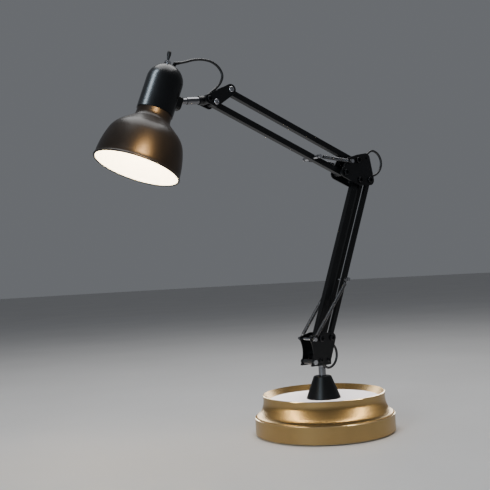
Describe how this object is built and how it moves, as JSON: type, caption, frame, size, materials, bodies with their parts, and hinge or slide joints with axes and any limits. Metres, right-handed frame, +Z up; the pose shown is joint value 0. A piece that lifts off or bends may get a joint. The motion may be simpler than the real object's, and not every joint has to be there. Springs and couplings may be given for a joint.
{
  "type": "swing arm desk lamp",
  "caption": "Swing arm desk lamp: weighted round base, spring-balanced parallelogram arm, swivelling cone-and-dome shade with a bulb",
  "frame": {"origin": "centre of the underside of the base, on the surface that the lamp stands on", "axes": "+Z up; the arm lies in the XZ plane with the head toward -X; +Y is away from the side that the picture shows"},
  "size_m": [0.4813, 0.213, 0.557],
  "materials": {
    "brass_spun": "spun and brushed satin brass",
    "white_enamel": "off-white satin enamel",
    "cast_iron": "raw casting",
    "zinc_steel": "zinc plated",
    "rubber_black": "moulded rubber",
    "black_powder_coat": "fine-textured matte black powder coat",
    "shade_coat": "matte black outside, white enamel inside",
    "chrome": "bright chrome",
    "dark_chrome": "smoked chrome",
    "black_oxide": "blackened steel",
    "spring_steel": "drawn spring wire",
    "black_plastic": "moulded black plastic",
    "flex_black": "black PVC lamp flex",
    "contact_brass": "stamped brass",
    "bulb_cap_metal": "bulb screw cap",
    "bulb_glass": "opal glass"
  },
  "bodies": {
    "base": {"base_shell": "brass_spun", "base_inlay": "white_enamel", "ballast_weight": "cast_iron", "base_plate": "zinc_steel", "foot_pad": "rubber_black", "base_plate_screws": "zinc_steel", "cone_column": "black_powder_coat", "spindle": "dark_chrome", "spindle_nuts": "zinc_steel", "cord_grommet": "rubber_black"},
    "swivel_bracket": {"swivel_block": "black_powder_coat", "bracket_plate_near": "black_powder_coat", "bracket_plate_far": "black_powder_coat", "bracket_screws": "black_oxide", "clamp_bolt": "chrome", "lower_spring_anchor": "chrome", "lower_pivot_bolts": "black_oxide", "bracket_nuts": "black_oxide", "bracket_spacers": "black_plastic", "lower_springs": "spring_steel", "base_flex": "flex_black"},
    "lower_rear": {"lower_rear_bar_near": "black_powder_coat", "lower_rear_bar_far": "black_powder_coat", "lower_spring_pin": "chrome", "rear_bar_spacers": "black_plastic"},
    "lower_front": {"lower_front_bar": "black_powder_coat"},
    "elbow": {"elbow_plate_near": "black_powder_coat", "elbow_plate_far": "black_powder_coat", "elbow_bolts": "black_oxide", "elbow_nuts": "black_oxide", "elbow_spacers": "black_plastic", "elbow_spring_studs": "chrome", "elbow_cord_guide": "black_plastic", "upper_springs": "spring_steel", "elbow_flex": "flex_black"},
    "upper_bottom": {"upper_bottom_bar": "black_powder_coat", "upper_spring_pin": "chrome"},
    "upper_top": {"upper_top_bar": "black_powder_coat"},
    "head_bracket": {"head_plate_near": "black_powder_coat", "head_plate_far": "black_powder_coat", "head_bracket_bolts": "chrome", "head_bracket_nuts": "chrome", "head_bracket_spacers": "black_plastic"},
    "knuckle": {"knuckle": "black_powder_coat", "stem_sleeve": "dark_chrome", "head_flex": "flex_black"},
    "head": {"stem_rod": "dark_chrome", "neck_boss": "black_powder_coat", "neck_screw": "zinc_steel", "neck_housing": "black_powder_coat", "shade": "shade_coat", "shade_ring": "black_plastic", "lampholder": "black_plastic", "lampholder_contacts": "contact_brass", "bulb_cap": "bulb_cap_metal", "bulb_glass": "bulb_glass", "switch_body": "black_plastic", "switch_bush": "chrome", "cord_gland": "black_oxide"},
    "lever": {"switch_lever": "black_plastic"}
  },
  "joints": [
    {"name": "base_swivel", "type": "hinge", "parent": "base", "child": "swivel_bracket", "pos_m": [0, 0, 0.108], "axis": [0, 0, 1], "range_deg": [-170, 170]},
    {"name": "lower_arm_tilt", "type": "hinge", "parent": "swivel_bracket", "child": "lower_rear", "pos_m": [0.0113, 0, 0.141], "axis": [0, 1, 0], "range_deg": [-45, 30], "deforming": ["lower_springs", "base_flex"]},
    {"name": "lower_front_follow", "type": "hinge", "parent": "swivel_bracket", "child": "lower_front", "pos_m": [-0.0085, 0, 0.141], "axis": [0, 1, 0], "range_deg": [-45, 30]},
    {"name": "elbow_level", "type": "hinge", "parent": "lower_rear", "child": "elbow", "pos_m": [0.10424, 0, 0.38061], "axis": [0, 1, 0], "range_deg": [-30, 45], "deforming": ["elbow_flex"]},
    {"name": "upper_arm_tilt", "type": "hinge", "parent": "elbow", "child": "upper_bottom", "pos_m": [0.05714, 0, 0.39201], "axis": [0, 1, 0], "range_deg": [-42, 35], "deforming": ["upper_springs"]},
    {"name": "upper_top_follow", "type": "hinge", "parent": "elbow", "child": "upper_top", "pos_m": [0.08264, 0, 0.41141], "axis": [0, 1, 0], "range_deg": [-42, 35]},
    {"name": "head_level", "type": "hinge", "parent": "upper_bottom", "child": "head_bracket", "pos_m": [-0.1673, 0, 0.48774], "axis": [0, 1, 0], "range_deg": [-35, 42]},
    {"name": "head_tilt", "type": "hinge", "parent": "head_bracket", "child": "knuckle", "pos_m": [-0.1778, 0, 0.4916], "axis": [0, 1, 0], "range_deg": [-40, 60]},
    {"name": "head_roll", "type": "hinge", "parent": "knuckle", "child": "head", "pos_m": [-0.1778, 0, 0.4916], "axis": [0.9945, 0, 0.1045], "range_deg": [-75, 75], "deforming": ["head_flex"]},
    {"name": "switch_toggle", "type": "hinge", "parent": "head", "child": "lever", "pos_m": [-0.23574, 0, 0.53667], "axis": [0, 1, 0], "range_deg": [0, 16]}
  ],
  "couplings": [
    {"joint": "lower_front_follow", "follows": "lower_arm_tilt", "ratio": 1},
    {"joint": "elbow_level", "follows": "lower_arm_tilt", "ratio": -1},
    {"joint": "upper_top_follow", "follows": "upper_arm_tilt", "ratio": 1},
    {"joint": "head_level", "follows": "upper_arm_tilt", "ratio": -1}
  ]
}
